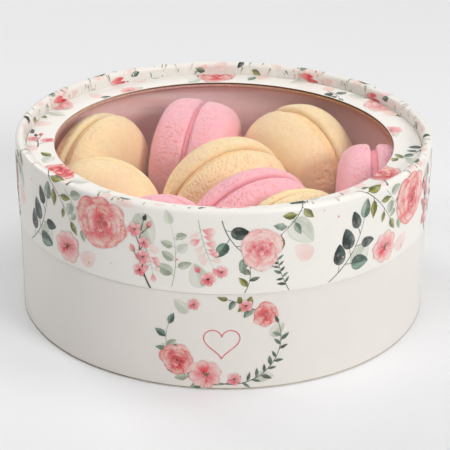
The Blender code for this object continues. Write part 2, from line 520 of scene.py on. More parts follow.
def lid_numbers():
    """Outer radius of the paper, rim radius, straight side and rim arc length, in mm."""
    rim = sizes().wall / 2
    outer = LID_R - sizes().ink_room
    return outer, rim, LID_TOP - sizes().ink_room - rim - LID_LOW, math.pi * rim


def round_place(radius, angle, height):
    """A place in metres from a radius, an angle and a height in mm."""
    return Vector((radius * math.cos(angle), radius * math.sin(angle), height)) * MM


def lid_place(across, up, lift):
    """A place on the lid's wrap, which runs up the side, over the rim and down inside."""
    outer, rim, side, over = lid_numbers()
    angle = FRONT + across / LID_R
    if up <= side:
        out, rising, radius, height = 1.0, 0.0, outer, LID_LOW + up
    elif up <= side + over:
        bend = (up - side) / rim
        out, rising = math.cos(bend), math.sin(bend)
        radius, height = outer - rim + rim * out, LID_LOW + side + rim * rising
    else:
        out, rising, radius = -1.0, 0.0, outer - 2 * rim
        height = LID_LOW + side - (up - side - over)
    lift += fold_height(angle, up, side, over)
    return round_place(radius + lift * out, angle, height + lift * rising)


RING_MIDDLE = 4.0                         # from the window's edge to the ring's middle, mm


def ring_place(across, up, lift):
    """A place on the flat ring; up is measured outwards from the window's edge."""
    angle = FRONT + across / (sizes().window + RING_MIDDLE)
    return round_place(sizes().window + up, angle, RING_TOP - sizes().ink_room + lift)


def base_wave(angle, up):
    """Relief in mm of the base's wrap, with the step where it ends over its own start."""
    wave = noise.noise(Vector((3 * math.cos(angle), 3 * math.sin(angle), up * 0.08)))
    lap = (angle - SEAM_AT) % math.tau * BASE_R
    return 0.06 * wave + max(0.0, SEAM_RISE * (1 - lap / SEAM_FADE))


def base_place(across, up, lift):
    angle = FRONT + across / BASE_R
    radius = BASE_R - sizes().ink_room + base_wave(angle, up) + lift
    return round_place(radius, angle, BASE_LOW + up)


# Printed shapes

class Sheet:
    """A flat print: points (across, up, level), faces, and ink and petal place per point."""

    def __init__(self):
        self.points, self.faces, self.inks, self.petals = [], [], [], []
        self.level = 0

    def add(self, rows, columns, points, inks, petals):
        first = len(self.points)
        self.points += points
        self.inks += inks
        self.petals += petals
        wide = columns + 1
        for row in range(rows):
            for column in range(columns):
                corner = first + row * wide + column
                self.faces.append((corner, corner + 1, corner + wide + 1, corner + wide))


def blend(first, second, share):
    return tuple(a + (b - a) * share for a, b in zip(first, second))


# Each ink at a petal's root, tip and edge; one of two tones has the first at its edge too
INKS = {name: tuple(srgb(*tone) for tone in (*tones, tones[0])[:3]) for name, tones in {
    "coral": ((226, 34, 66), (255, 220, 211), (248, 112, 122)),
    "coral_deep": ((196, 8, 44), (246, 110, 118), (255, 160, 156)),
    "coral_pale": ((244, 72, 92), (255, 240, 235), (252, 142, 148)),
    "blush": ((248, 146, 160), (255, 236, 232), (252, 184, 188)),
    "blush_pale": ((252, 176, 184), (255, 243, 240), (254, 192, 196)),
    "petal_pink": ((232, 98, 120), (255, 214, 210), (248, 146, 158)),
    "sage": ((84, 118, 102), (170, 194, 178), (112, 142, 126)),
    "sage_pale": ((164, 180, 160), (216, 223, 211), (188, 200, 184)),
    "teal": ((14, 30, 28), (70, 96, 90), (22, 42, 40)),
    "teal_soft": ((56, 88, 80), (146, 178, 164), (80, 112, 102)),
    "olive": ((100, 108, 30), (182, 184, 92), (118, 124, 46)),
    "mist": ((214, 222, 212), (240, 243, 238), (228, 233, 226)),
    "rose_mist": ((255, 232, 230), (255, 246, 244), (255, 238, 236)),
    "ochre": ((186, 104, 40), (226, 168, 104), (198, 136, 78)),
    "night": ((30, 30, 34), (58, 58, 60), (36, 36, 42)),
    "twig": ((60, 42, 42), (104, 78, 74)),
    "stem": ((66, 84, 66), (112, 130, 100)),
    "faded": ((216, 206, 196), (236, 230, 222)),
    "line_pink": ((240, 116, 130), (244, 132, 144)),
    "seam_edge_shadow": ((214, 202, 188), (140, 106, 78)),
    "foot_dark": ((206, 200, 188), (138, 124, 98)),
    "foot_pale": ((138, 124, 98), (216, 212, 202)),
    "foot_rest": ((216, 212, 202), (206, 200, 188)),
}.items()}
LEAF_INKS = ("sage", "sage_pale", "teal", "teal_soft", "olive", "mist", "stem")


def outline(shape, along):
    """Half width of a petal or leaf at a share of its length, 1 at its widest."""
    if shape == "cup":
        return max(0.05, math.sin(math.pi * along ** 1.7)) ** 0.5 if along < 1 else 0.12
    if shape == "leaf":
        return max(0.02, math.sin(math.pi * along ** 0.8)) ** 1.15
    if shape == "gum":
        return max(0.03, math.sin(math.pi * along ** 0.72)) ** 0.62 * (1.0 - 0.12 * along)
    return math.sqrt(max(0.002, 1 - (2 * along - 1) ** 2))


def petal(sheet, at, turn, length, width, ink, shape="round", bend=0.0, ruffle=0.0, fine=1.0):
    """One printed petal or leaf, from its root at a place, turned clockwise from upright."""
    rows = max(5, math.ceil(length * 1.3 * fine))
    columns = 2 * max(1, math.ceil(width * 0.6 * fine))
    root, tip, edge = INKS[ink]
    sheet.level += 1
    leafy, fold = ink in LEAF_INKS, 1 if sheet.level % 2 else -1
    (across, up), before = at, 0.0
    points, inks, petals = [], [], []
    for row in range(rows + 1):
        along = (1 - math.cos(math.pi * row / rows)) / 2
        heading = turn + bend * along
        across += (along - before) * length * math.sin(heading)
        up += (along - before) * length * math.cos(heading)
        before = along
        half = width / 2 * outline(shape, along)
        for column in range(columns + 1):
            aside = 2 * column / columns - 1
            push = ruffle * length * along ** 3 * math.cos(3.2 * math.pi * aside + sheet.level)
            points.append((
                across + aside * half * math.cos(heading) + push * math.sin(heading),
                up - aside * half * math.sin(heading) + push * math.cos(heading), sheet.level))
            rimmed = max(abs(aside) ** 6, max(0.0, along / 0.12 - 7.33) ** 2) * 0.8
            lit = min(1.0, max(0.0, (along - 0.38) / 0.5)) ** 1.2
            if leafy:
                lit = min(1.0, max(0.0, 0.45 + 0.6 * math.tanh(4 * aside * fold)
                                   + 0.5 * (along - 0.45)))
            inks.append(blend(blend(root, tip, lit), edge, min(1.0, rimmed)))
            petals.append((aside * 0.5 + (0.5 if leafy else 2.5), along))
    sheet.add(rows, columns, points, inks, petals)


def line_path(at, turn, length, bend, steps=22):
    """Places and headings along a gently bent line."""
    (across, up), found = at, []
    for step in range(steps + 1):
        heading = turn + bend * step / steps
        found.append((across, up, heading))
        across += length / steps * math.sin(heading)
        up += length / steps * math.cos(heading)
    return found


def stroke(sheet, path, width, ink, taper=0.5):
    """A thin painted line along a path."""
    root, tip, _ = INKS[ink]
    sheet.level += 1
    points, inks, petals = [], [], []
    last = len(path) - 1
    for i, (across, up, heading) in enumerate(path):
        half = width / 2 * (1 - (1 - taper) * i / last)
        for aside in (-1, 1):
            points.append((across + aside * half * math.cos(heading),
                           up - aside * half * math.sin(heading), sheet.level))
            inks.append(blend(root, tip, i / last))
            petals.append((aside * 0.5 + 2.5, i / last))
    sheet.add(last, 1, points, inks, petals)


def beside(at, turn, reach):
    """The place that lies this far from another, by a clockwise turn from upright."""
    return at[0] + reach * math.sin(turn), at[1] + reach * math.cos(turn)


def dot(sheet, at, radius, ink):
    petal(sheet, (at[0], at[1] - radius), 0.0, 2 * radius, 2 * radius, ink, fine=0.8)


def sprig(sheet, at, turn, length, bend, leaves, leaf, inks, shape="gum", stem="stem",
          spread=1.0, seed=1, stalk=0.0, width=0.32):
    """A stem with leaves on both sides and one at its end."""
    draw = random.Random(seed)
    path = line_path(at, turn, length, bend)
    stroke(sheet, path, width, stem)
    for number in range(leaves):
        side = 1 if number % 2 else -1
        across, up, heading = path[int((0.2 + 0.72 * number / leaves) * (len(path) - 1))]
        heading += side * spread * draw.uniform(0.75, 1.2)
        if stalk:
            twig = line_path((across, up), heading, stalk, side * 0.3, 4)
            stroke(sheet, twig, width * 0.7, stem, 0.8)
            across, up, _ = twig[-1]
        size = draw.uniform(0.78, 1.12) * (1.0 - 0.25 * number / leaves)
        petal(sheet, (across, up), heading, leaf[0] * size,
              leaf[1] * size * draw.uniform(0.8, 1.1), draw.choice(inks), shape,
              bend=side * draw.uniform(0.0, 0.5))
    across, up, heading = path[-1]
    petal(sheet, (across, up), heading, leaf[0] * 0.85, leaf[1] * 0.75, draw.choice(inks), shape)


def rose(sheet, at, size, inks, seed, counts=(7, 6, 5, 4, 3)):
    """A full round flower: rings of ruffled petals, smaller and deeper towards the middle."""
    draw = random.Random(seed)
    for ring, count in enumerate(counts):
        reach = size / 2 * (1.0, 0.82, 0.64, 0.46, 0.28)[ring]
        start = draw.uniform(0, math.tau)
        for number in range(count):
            turn = start + math.tau * number / count + draw.uniform(-0.22, 0.22)
            petal(sheet, beside(at, turn, 0.10 * reach), turn, reach * draw.uniform(0.74, 1.0),
                  reach * draw.uniform(0.80, 1.12), inks[(ring + number % 2) % len(inks)], "cup",
                  bend=draw.uniform(-0.35, 0.35), ruffle=draw.uniform(0.03, 0.07))
    for number in range(5):
        turn = draw.uniform(0, math.tau)
        petal(sheet, beside(at, turn, 0.05 * size), turn + 1.4, size * 0.15, size * 0.05,
              inks[-1], "leaf", bend=1.2)


def cosmos(sheet, at, size, inks, seed, count=8):
    """An open flower of one ring of notched petals round a dark stippled middle."""
    draw = random.Random(seed)
    start = draw.uniform(0, math.tau)
    for number in range(count):
        turn = start + math.tau * ((number * 3) % count) / count + draw.uniform(-0.1, 0.1)
        petal(sheet, at, turn, size / 2 * draw.uniform(0.88, 1.05),
              size * draw.uniform(0.34, 0.42), draw.choice(inks), "cup", ruffle=0.05)
    dot(sheet, at, size * 0.07, "ochre")
    for number in range(11):
        turn, reach = draw.uniform(0, math.tau), size * draw.uniform(0.06, 0.15)
        stroke(sheet, line_path(at, turn, reach, 0.2, 3), 0.10, "twig", 0.6)
        dot(sheet, beside(at, turn, reach), draw.uniform(0.12, 0.2),
            draw.choice(("night", "ochre", "twig")))


def blossom(sheet, at, size, turn=0.0):
    """A small five-petalled blossom with a dark eye."""
    for number in range(5):
        petal(sheet, at, turn + math.tau * number * 2 / 5, size / 2, size * 0.42,
              ("blush", "petal_pink", "blush_pale")[number % 3], "cup", fine=0.8)
    dot(sheet, at, size * 0.09, "twig")
    dot(sheet, (at[0] + size * 0.10, at[1] + size * 0.04), size * 0.05, "ochre")


def blossom_twig(sheet, at, turn, length, bend, seed, flowers=5):
    """A dark forked twig with blossoms and buds."""
    draw = random.Random(seed)
    path = line_path(at, turn, length, bend)
    stroke(sheet, path, 0.42, "twig", 0.4)
    for number in range(flowers):
        side = 1 if number % 2 else -1
        across, up, heading = path[int((0.25 + 0.7 * number / flowers) * (len(path) - 1))]
        arm = line_path((across, up), heading + side * draw.uniform(0.5, 0.9),
                        draw.uniform(2.2, 4.2), -side * 0.5, 6)
        stroke(sheet, arm, 0.24, "twig", 0.6)
        if number % 3 == 2:
            petal(sheet, arm[-1][:2], arm[-1][2], 2.6, 1.5, "petal_pink", "leaf")
            petal(sheet, arm[-1][:2], arm[-1][2] + 0.3, 1.2, 0.7, "olive", "leaf")
        else:
            blossom(sheet, arm[-1][:2], draw.uniform(3.2, 4.4), draw.uniform(0, 1))
    petal(sheet, path[-1][:2], path[-1][2], 2.2, 1.2, "twig", "leaf")


def splashes(sheet, start, width, height, count, seed):
    """Fine drops of paint."""
    draw = random.Random(seed)
    for _ in range(count):
        dot(sheet, (start + draw.uniform(0, width), draw.uniform(0, height)),
            draw.uniform(0.10, 0.34),
            draw.choice(("coral_pale", "blush", "ochre", "sage_pale", "blush_pale")))


TILE = math.tau * LID_R / 4               # the side print repeats four times round the lid
LEAF_LEVEL, FLOWER_LEVEL = 12, 40         # leaves lie over washes, flowers over leaves


def rim_marks(sheet, start):
    """Cut-off ends of the print on the rim: thin strokes, pink washes and red slashes."""
    draw = random.Random(61)
    for number in range(12):
        sheet.level = 0
        petal(sheet, (start + draw.uniform(0, TILE), draw.uniform(23.5, 27.5)),
              draw.uniform(1.0, 2.1), draw.uniform(3.5, 7.0), draw.uniform(1.6, 2.8), "rose_mist")
    for number in range(40):
        sheet.level = LEAF_LEVEL + number % 3
        place = (start + draw.uniform(0, TILE),
                 draw.choice((24.0, 26.0, 27.5)) + draw.uniform(-1, 1))
        path = line_path(place, draw.uniform(-0.6, 0.6), draw.uniform(0.8, 3.2),
                         draw.uniform(-0.8, 0.8), 5)
        stroke(sheet, path, draw.uniform(0.25, 0.7),
               draw.choice(("faded", "faded", "sage_pale", "faded", "sage", "sage_pale")))
    for across, turn in ((6, 1.45), (33, 1.65)):
        sheet.level = FLOWER_LEVEL
        petal(sheet, (start + across, 28.7), turn, 7.5, 1.3, "coral", "leaf", bend=0.15)
        petal(sheet, (start + across + 2, 27.2), turn, 6.0, 1.6, "coral_pale", "leaf", bend=-0.15)


def side_tile(sheet, start):
    """One repeat of the print on the lid's side, over its rim and down inside."""
    def at(across, up):
        return start + across, up

    sheet.level = 0
    for place, turn, length, width, ink in (
            (at(9, 3), 0.6, 8, 6.5, "mist"), (at(44, 21), 2.7, 9, 6.5, "mist"),
            (at(84, 20), 2.4, 9, 7, "mist"), (at(61, 2), -0.3, 7, 5.5, "mist"),
            (at(26, 2.5), 0.9, 6, 5, "rose_mist"), (at(90, 9), -0.9, 6, 5, "rose_mist")):
        petal(sheet, place, turn, length, width, ink, "gum")
    for at_place, turn, length, bend, leaves, leaf, inks, shape, seed in (
            ((53, 1.5), 0.25, 18, -0.55, 6, (4.6, 3.4), ("sage_pale", "mist"), "gum", 5),
            ((20, 22), 2.3, 12, 0.6, 5, (3.8, 3.0), ("mist", "sage_pale"), "gum", 6),
            ((60, 21), 3.0, 14, -0.3, 11, (2.9, 2.2), ("blush_pale", "rose_mist"), "cup", 25),
            ((45, 14), 2.7, 10, 0.3, 9, (2.6, 2.0), ("rose_mist", "blush_pale"), "cup", 26)):
        sheet.level = 6
        sprig(sheet, at(*at_place), turn, length, bend, leaves, leaf, inks, shape, "sage_pale",
              1.0, seed, 0.8, 0.17)
    for at_place, turn, length, bend, leaves, leaf, inks, shape, seed, stalk, width in (
            ((1, 0.5), 1.0, 20, -0.85, 5, (6.2, 4.6), ("sage", "teal_soft", "teal"), "gum",
             3, 2.2, 0.26),
            ((10, 25), 2.1, 17, 0.5, 4, (5.0, 2.8), ("olive",), "leaf", 8, 0.8, 0.24),
            ((66, 21), 2.9, 15, -0.9, 4, (5.6, 3.8), ("teal", "teal_soft", "sage"), "gum",
             12, 1.6, 0.26),
            ((88, 26), 3.5, 15, 0.7, 5, (5.2, 2.8), ("olive", "sage"), "leaf", 15, 0.6, 0.24),
            ((84, 0), -0.5, 13, 0.4, 11, (2.6, 1.0), ("stem", "teal_soft"), "leaf", 18, 0, 0.2),
            ((72, 0.5), 0.5, 10, -0.9, 4, (3.6, 1.8), ("olive", "stem"), "leaf", 19, 0, 0.2)):
        sheet.level = LEAF_LEVEL
        sprig(sheet, at(*at_place), turn, length, bend, leaves, leaf, inks, shape, "stem", 0.85,
              seed, stalk, width)
    sheet.level = LEAF_LEVEL
    for place, turn, ink in (
            (at(2, 26.2), 1.1, "teal_soft"), (at(38, 24.6), 1.3, "sage"),
            (at(57, 27.4), -1.3, "olive"), (at(60, 24), 0.4, "teal"), (at(73, 28), 1.7, "sage")):
        petal(sheet, place, turn, 3.6, 2.0, ink, "leaf", bend=0.3)
    rim_marks(sheet, start)
    sheet.level = FLOWER_LEVEL
    blossom_twig(sheet, at(48, -1), -0.55, 21, 0.9, 4, 6)
    for place, size, inks, seed in (
            ((33, 15.6), 15.5, ("coral", "coral_pale", "coral", "coral_pale", "coral_deep"), 31),
            ((76, 12.8), 12.0, ("blush", "blush_pale", "blush", "petal_pink", "petal_pink"), 32)):
        sheet.level = FLOWER_LEVEL
        rose(sheet, at(*place), size, inks, seed)
    sheet.level = FLOWER_LEVEL
    cosmos(sheet, at(20.5, 5.6), 9.5, ("blush", "blush_pale", "coral_pale"), 21)
    sheet.level = FLOWER_LEVEL
    blossom(sheet, at(62.5, 4.4), 4.2, 0.3)
    blossom(sheet, at(66.0, 6.6), 3.6, 0.9)
    petal(sheet, at(60.5, 6.2), -0.7, 2.4, 1.5, "petal_pink", "leaf")
    splashes(sheet, start, TILE, 22.0, 12, 41)


def lid_side_print():
    sheet = Sheet()
    for repeat in range(-2, 2):
        side_tile(sheet, repeat * TILE + 28.0)
    return sheet


def ring_print():
    """Pieces of the same print on the flat ring, cut off by the window and the rim."""
    sheet, draw = Sheet(), random.Random(77)
    around = math.tau * (sizes().window + RING_MIDDLE)
    count = 30
    for number in range(count):
        at = (around * (number + draw.uniform(-0.3, 0.3)) / count, draw.uniform(-0.5, 8.5))
        turn, kind = draw.uniform(0, math.tau), number % 10
        sheet.level = 2
        petal(sheet, at, turn + 2.0, 5.5, 4.0, draw.choice(("mist", "rose_mist")), "gum")
        if kind in (0, 5):
            sheet.level = 8
            rose(sheet, at, draw.uniform(9, 12),
                 ("coral_pale", "coral", "coral_deep") if kind else
                 ("blush_pale", "blush", "petal_pink"), number, (7, 6, 5, 4))
        elif kind in (1, 6):
            sprig(sheet, at, turn, 9, 0.5, 4, (3.6, 2.2), ("olive",), "leaf", seed=number)
        elif kind in (2, 7):
            sprig(sheet, at, turn, 8, -0.6, 3, (4.2, 3.0), ("teal", "teal_soft", "sage"),
                  seed=number, stalk=0.6)
        elif kind == 3:
            blossom_twig(sheet, at, turn, 8, 0.4, number, 3)
        elif kind == 8:
            cosmos(sheet, at, 8.0, ("blush_pale", "blush"), number)
        else:
            petal(sheet, at, turn, 4.4, 2.6, draw.choice(("teal_soft", "olive", "sage")), "leaf")
    return sheet


HEART, HEART_UP, HEART_STEPS = 0.30, 14.6, 48     # size, height of its middle in mm, points


def base_print():
    """A wreath on the front of the base: leaves up both sides, flowers at two places."""
    sheet = Sheet()
    sheet.level = 2
    for at, turn in (((-13, 9), -0.6), ((13, 16), 0.8), ((-9, 23), -0.8), ((9, 4), 1.6)):
        petal(sheet, at, turn, 5.0, 3.6, "mist", "gum")
    sprig(sheet, (3, 2.6), -1.9, 30, 2.3, 13, (4.4, 2.5), ("sage_pale", "sage", "teal_soft"),
          "leaf", "sage", 0.75, 51, 0.2, 0.26)
    sprig(sheet, (-1, 2.4), 1.8, 29, -2.2, 15, (3.3, 1.3), ("teal_soft", "sage", "stem"),
          "leaf", "stem", 0.7, 52, 0.2, 0.24)
    sheet.level = LEAF_LEVEL
    sprig(sheet, (9.5, 23.5), -1.0, 9, -0.3, 5, (3.2, 2.2), ("olive", "sage"), seed=53)
    for place, size, seed in (((-11.8, 8.6), 9.6, 54), ((11.6, 22.6), 7.4, 56)):
        sheet.level = FLOWER_LEVEL
        rose(sheet, place, size, ("coral", "coral_pale", "coral", "coral_deep"), seed,
             (7, 6, 5, 4))
    sheet.level = FLOWER_LEVEL + 6
    cosmos(sheet, (-4.2, 4.9), 9.0, ("blush", "blush_pale", "coral_pale"), 55)
    sheet.level = FLOWER_LEVEL
    blossom(sheet, (3.4, 3.5), 4.0, 0.4)
    blossom(sheet, (6.2, 25.4), 3.8, 1.0)
    blossom(sheet, (-7.4, 25.6), 3.4, 0.2)
    heart = []
    for step in range(HEART_STEPS + 1):
        turn = math.pi + math.tau * step / HEART_STEPS
        heart.append((HEART * 16 * math.sin(turn) ** 3, HEART_UP + HEART * (
            13 * math.cos(turn) - 5 * math.cos(2 * turn) - 2 * math.cos(3 * turn)
            - math.cos(4 * turn))))
    path = []
    for (across, up), (next_across, next_up) in zip(heart, heart[1:] + heart[1:2]):
        path.append((across, up, math.atan2(next_across - across, next_up - up)))
    sheet.level = 2
    stroke(sheet, path, 0.32, "line_pink", 1.0)
    # the wrap's edge down the side seam, with painted shadow of its overlap, browner towards the
    # top
    stroke(sheet, line_path(((SEAM_AT - FRONT) * BASE_R + 0.4, 1.0), 0.0, 27.4, 0.0), 0.4,
           "seam_edge_shadow", 1.3)
    # a thin line round the base's foot: its edge with painted contact shade, darkest on the left,
    # away from the light, and pale on the right
    half_round, dark_at, pale_at = math.pi * BASE_R, -48.0, 36.0
    for start, end, ink in ((-half_round, dark_at, "foot_dark"), (dark_at, pale_at, "foot_pale"),
                            (pale_at, half_round, "foot_rest")):
        stroke(sheet, line_path((start, 0.54), math.pi / 2, end - start, 0.0, 160), 0.34, ink, 1.0)
    return sheet


def wrap_print(name, sheet, place, low, high, fine_from=None):
    """Cuts a flat print to its paper and wraps it on the box as a piece of its own."""
    piece = new_piece(name, sheet.points, (), sheet.faces)
    mesh = piece.data
    ink = mesh.color_attributes.new("Ink", "FLOAT_COLOR", "POINT")
    ink.data.foreach_set("color", [value for tone in sheet.inks for value in (*tone, 1.0)])
    petals = mesh.uv_layers.new(name="Petal")
    petals.data.foreach_set(
        "uv", [value for loop in mesh.loops for value in sheet.petals[loop.vertex_index]])
    bpy.ops.object.mode_set(mode="EDIT")
    for height, above in ((low, False), (high, True)):
        bpy.ops.mesh.select_all(action="SELECT")
        bpy.ops.mesh.bisect(plane_co=(0, height, 0), plane_no=(0, 1, 0), clear_inner=not above,
                            clear_outer=above)
    bpy.ops.mesh.select_all(action="DESELECT")
    if fine_from is not None:
        flat = bmesh.from_edit_mesh(mesh)
        for face in flat.faces:
            face.select_set(max(vert.co.y for vert in face.verts) > fine_from)
        bmesh.update_edit_mesh(mesh)
        bpy.ops.mesh.subdivide(number_cuts=2)
    bpy.ops.object.mode_set(mode="OBJECT")
    for vert in mesh.vertices:
        across, up, level = vert.co
        vert.co = place(across, up, 0.012 + level * sizes().ink_step)
    mesh.update()
    return piece


# Pieces. The steps round those that have no setting of their own:
RING_STEPS, BASE_STEPS, DISC_STEPS, CREAM_STEPS = 360, 480, 256, 160


def lid_profile():
    outer, rim, side, over = lid_numbers()
    inner = outer - 2 * rim
    soft = 0.2
    points = arc(inner + soft, LID_LOW + soft, soft, 180, 270, 4)
    points += arc(outer - soft, LID_LOW + soft, soft, 270, 360, 4)
    points += [(outer, LID_LOW + up) for up in rise(1.0, side, 18)]
    points += arc(outer - rim, LID_LOW + side, rim, 0, 180, 26)
    points += [(inner, LID_LOW + side - down) for down in (0.3, 0.7, 1.1, 1.5, 1.9, 2.3, 3.4)]
    points += [(inner, RING_LOW - 8.0)]
    return points


def crease_rim(piece):
    """Moves the rim's points along their normals into the folds of the paper."""
    outer, rim, side, over = lid_numbers()
    for vert in piece.data.vertices:
        across, back, height = vert.co / MM
        radius, angle = math.hypot(across, back), math.atan2(back, across)
        height -= LID_LOW + side
        if height < 1.0 - side or (height < -3.0 and radius < outer - rim):
            continue
        if height > 0:
            bend = math.atan2(height, radius - outer + rim)
            out, rising, up = math.cos(bend), math.sin(bend), side + bend * rim
        elif radius > outer - rim:
            out, rising, up = 1.0, 0.0, side + height
        else:
            out, rising, up = -1.0, 0.0, side + over - height
        lift = fold_height(angle, up, side, over)
        vert.co += round_place(out * lift, angle, rising * lift)
    piece.data.update()


class PIECE_OT_lid(bpy.types.Operator):
    """Side wall of the lid with its creased paper rim, and the flat ring inside it"""
    bl_idname = "macaron_box.lid"
    bl_label = "Lid"

    def execute(self, context):
        paper = paper_material("Lid paper", colours().lid_paper)
        wall = turn_profile("lid_wrap", lid_profile(), sizes().steps)
        crease_rim(wall)
        finish_piece(wall, paper, "lid_paper", "lid_wall")

        top, soft = RING_TOP - sizes().ink_room, 0.22
        window = sizes().window
        section = arc(RING_R - soft, top - soft, soft, 90, 0, 3)
        section += arc(RING_R - soft, RING_LOW + soft, soft, 0, -90, 3)
        section += arc(window + 0.12, RING_LOW + 0.12, 0.12, 270, 180, 2)
        section += [(window, RING_LOW + 0.5), (window, top - 0.5)]
        section += arc(window + soft, top - soft, soft, 180, 90, 4)
        section += [(radius, top) for radius in rise(window + 1.0, RING_R - 0.6, 8)]
        ring = turn_profile("lid_ring_board", section, RING_STEPS)
        ring.data.materials.append(paper)
        ring.data.materials.append(board_material(colours().raw_board))
        for face in ring.data.polygons:
            middle = face.center / MM
            inside = math.hypot(middle.x, middle.y) < window + 0.08
            if inside and middle.z < top - 0.16:
                face.material_index = 1
        finish_piece(ring, None, "lid_paper", "lid_ring")
        return {"FINISHED"}


class PIECE_OT_base(bpy.types.Operator):
    """Base wall with its pearly wrap and side seam, the set-in board and the inner tube"""
    bl_idname = "macaron_box.base"
    bl_label = "Base"

    def execute(self, context):
        outer, soft = BASE_R - sizes().ink_room, 0.35
        inner = BASE_R - sizes().wall
        section = arc(inner + soft, BASE_LOW + soft, soft, 180, 270, 4)
        section += arc(outer - soft, BASE_LOW + soft, soft, 270, 360, 4)
        section += [(outer, BASE_LOW + up) for up in rise(1.0, BASE_TOP - 1.0, 16)]
        top, soft = LID_LOW - 0.06, 0.14
        section += arc(outer - soft, top - soft, soft, 0, 90, 4)
        section += arc(inner + soft, top - soft, soft, 90, 180, 4)
        wall = turn_profile("base_wrap", section, BASE_STEPS)
        for vert in wall.data.vertices:
            across, back, height = vert.co / MM
            angle = math.atan2(back, across)
            if math.hypot(across, back) > outer - 0.2:
                vert.co += round_place(base_wave(angle, height - BASE_LOW), angle, 0.0)
        paper = paper_material("Base paper", colours().base_paper, 0.38, lumps=0.35,
                               mottle=0.015, coat=0.25)
        finish_piece(wall, paper, "base_paper", "base_wall")

        board = turn_profile("bottom_board", disc_profile(BOARD_R, BOARD_LOW, BOARD_TOP, 0.2),
                             DISC_STEPS, closed=False)
        lining = paper_material("Lining", colours().lining, 0.5, lumps=0.9, mottle=0.04)
        finish_piece(board, lining, "lining", "base_board")

        inner = LINER_R - LINER_WALL
        section = [(inner, height) for height in rise(LINER_LOW, LINER_TOP, 24)]
        section += [(inner, LINER_TOP), (LINER_R, LINER_TOP), (LINER_R, LINER_LOW)]
        tube = turn_profile("inner_tube", section, RING_STEPS)
        finish_piece(tube, lining, "lining", "liner")
        return {"FINISHED"}


class PIECE_OT_print(bpy.types.Operator):
    """Flowers and leaves printed on the lid's side, its flat ring and the base"""
    bl_idname = "macaron_box.print"
    bl_label = "Print"

    def execute(self, context):
        outer, rim, side, over = lid_numbers()
        ink = paper_material("Lid print", colours().lid_paper, wash=0.25)
        for name, sheet, place, low, high, fine in (
                ("lid_side_print", lid_side_print(), lid_place, 0.3, side + over + 2.2,
                 side - 0.4),
                ("lid_ring_print", ring_print(), ring_place, 0.25,
                 RING_R - sizes().window - 0.3, None)):
            finish_piece(wrap_print(name, sheet, place, low, high, fine), ink, "lid_paper")
        piece = wrap_print("base_print", base_print(), base_place, 0.36, BASE_TOP - 0.5)
        ink = paper_material("Base print", colours().base_paper, wash=0.2)
        finish_piece(piece, ink, "base_paper")
        return {"FINISHED"}


class PIECE_OT_window(bpy.types.Operator):
    """Clear film under the lid's ring"""
    bl_idname = "macaron_box.window"
    bl_label = "Window"

    def execute(self, context):
        film = turn_profile("clear_window", disc_profile(FILM_R, FILM_LOW, FILM_TOP, 0.05),
                            DISC_STEPS, closed=False)
        finish_piece(film, film_material(), "film", "window_film")
        return {"FINISHED"}


def node_points(name):
    """Corners of a CAD node, each once: its mesh is loose triangles that repeat them."""
    corners = {tuple(round(value, 7) for value in vert.co)
               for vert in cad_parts[name].data.vertices}
    return [Vector(corner) for corner in sorted(corners)]


def mean_point(points):
    return sum(points, Vector()) / len(points)


def macaron_measures(name):
    """Middle, axis, radius, half thickness and seam of a macaron's CAD nodes, in metres."""
    first, second = node_points(f"{name}_shell_1"), node_points(f"{name}_shell_2")
    middle = mean_point(node_points(f"{name}_filling"))
    axis = (mean_point(first) - mean_point(second)).normalized()
    heights = [(point - middle).dot(axis) for point in first]
    radius = max((point - middle - axis * height).length
                 for point, height in zip(first, heights))
    return middle, axis, radius, max(heights), min(heights)


def macaron_turn(middle, axis, flip):
    """The matrix that takes a piece from upright at the origin to its place."""
    axis = -axis if flip else axis
    across = Vector((0, 0, 1)).cross(axis).normalized()
    turn = Matrix((across, axis.cross(across), axis)).transposed().to_4x4()
    return Matrix.Translation(middle) @ turn


# How square the shoulder of a shell is: first along the axis, then across it
SHOULDER = (2.5, 3.6)
SQUARE_SHOULDER = (3.7, 4.0)
SQUARE_MACARONS = ("macaron_back", "macaron_right")

# Share of their pits that the smoother macarons have
PITTED = {"macaron_right_back": 0.55, "macaron_left_front": 0.65, "macaron_left": 0.9}


LIP, ROW_STEP = 1.2, 0.22                 # round of a shell's lip, and height between its rows


def shell_profile(radius, half, seam, shoulder):
    """Flat underside, rounded lip, then one curve over foot and cap of a shell, in mm."""
    top_power, side_power = shoulder
    profile = [(0.0, seam + 0.2), (radius * 0.5, seam + 0.2), (radius * 0.86, seam + 0.1)]
    profile += [(radius - LIP + LIP * math.sin(turn), seam + LIP - LIP * math.cos(turn))
                for turn in rise(0.1, math.pi / 2, 7)]
    start = (seam + LIP) / half
    widest = (1.0 - start ** top_power) ** (1 / side_power)
    rows = int((half - seam - LIP) / ROW_STEP)
    for row in range(rows):
        turn = 0.5 * math.pi * row / rows
        share = start + (1.0 - start) * (0.45 * math.sin(turn) + 0.55 * row / rows)
        across = (1.0 - share ** top_power) ** (1 / side_power) / widest
        profile.append((radius * across, share * half))
    return profile + [(radius * 0.25, half * 0.999), (0.0, half)]


# The rough, darker dent in one shell: the piece, its place, how far it reaches and its depth, in
# mm
DARK_DENT = ("macaron_right_back_baked_1", (30.8, 13.9, 30.7), 4.6, 0.25)
CEILING = FILM_LOW - 0.03                 # the shells stay under the film
PIT_FREE = 0.014                          # no pits this near to a macaron's middle, metres
PATCH = 7 * MM                            # how far apart the patches with fewer pits lie


